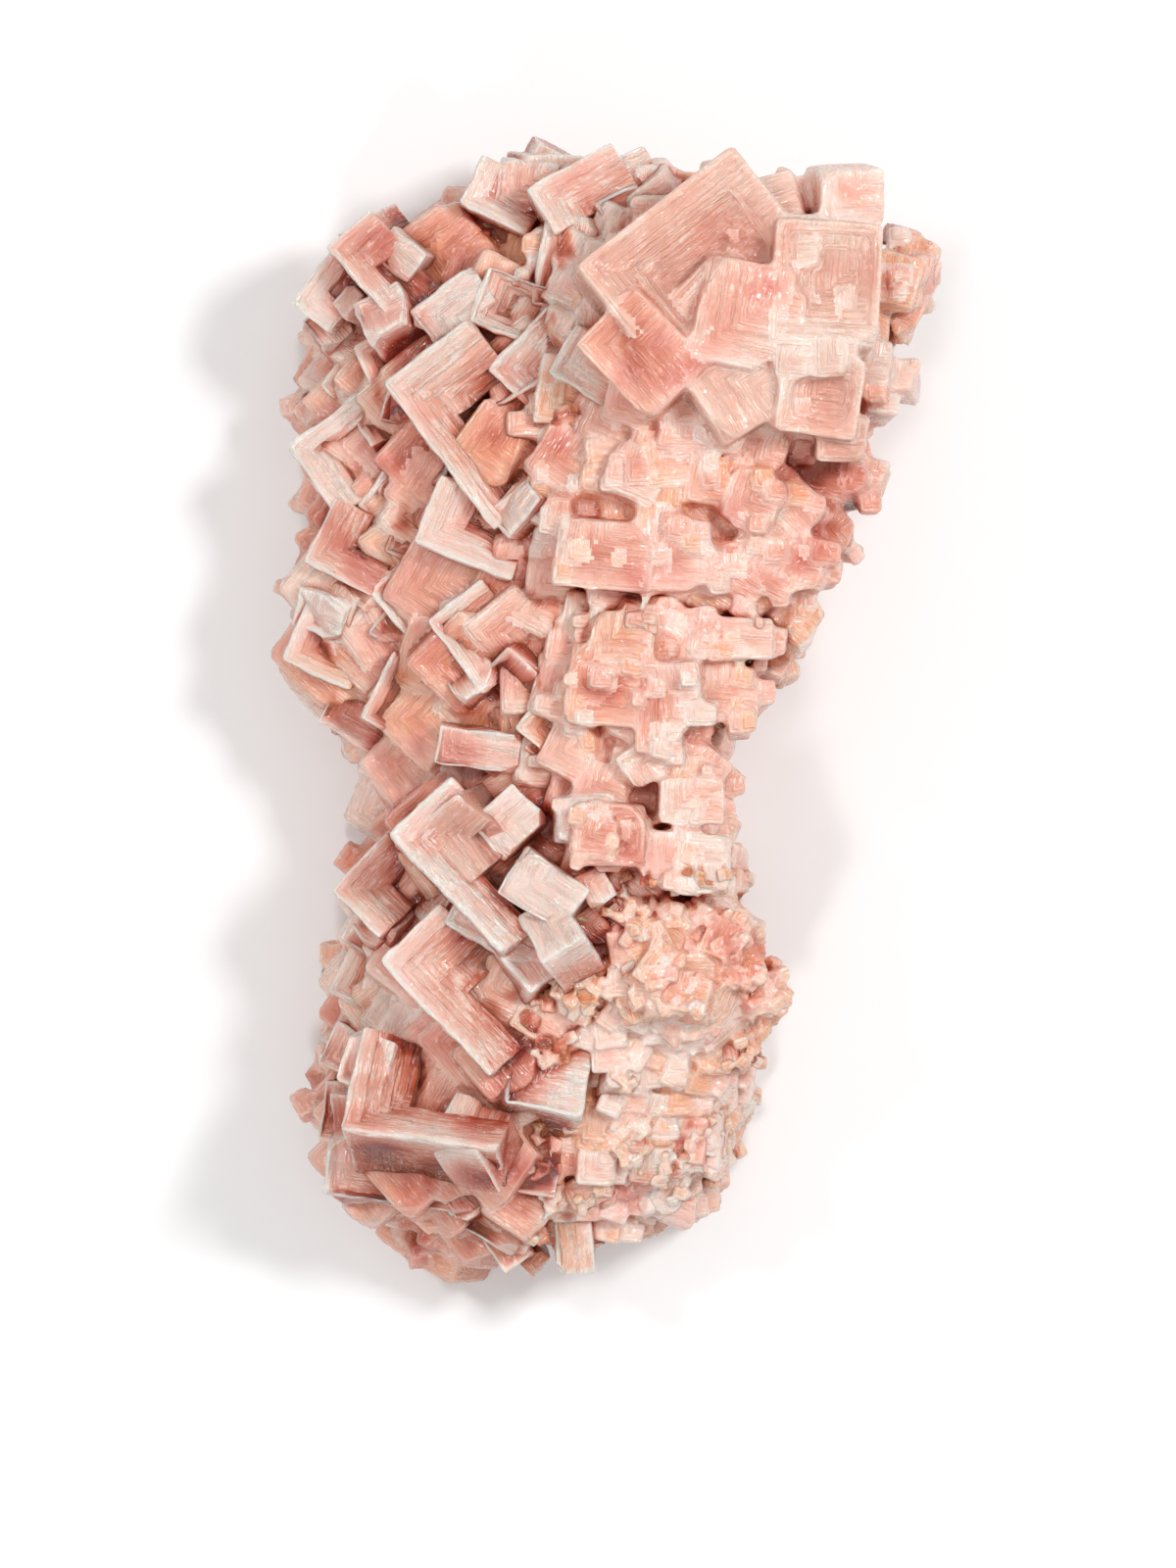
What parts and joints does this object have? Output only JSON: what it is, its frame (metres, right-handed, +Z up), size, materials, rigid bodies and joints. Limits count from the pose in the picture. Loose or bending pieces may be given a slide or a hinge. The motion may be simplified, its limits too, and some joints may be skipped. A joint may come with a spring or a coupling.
{
  "type": "halite hopper crystal cluster",
  "caption": "Palm-length hourglass cluster of stepped cubic halite crystals, grown together on a crust of finer salt, with a flat broken back to rest on",
  "frame": {"origin": "on the flat resting face, below the waist of the cluster", "axes": "+Y along the length, towards the wider end; +X across, towards the higher side; +Z up, out of the showy side"},
  "size_m": [0.1115, 0.1924, 0.064],
  "materials": {
    "pink_halite": "translucent pale pink salt, glassy on flat faces and sugary where fine"
  },
  "bodies": {
    "root": {"halite_cluster": "pink_halite"}
  },
  "joints": []
}
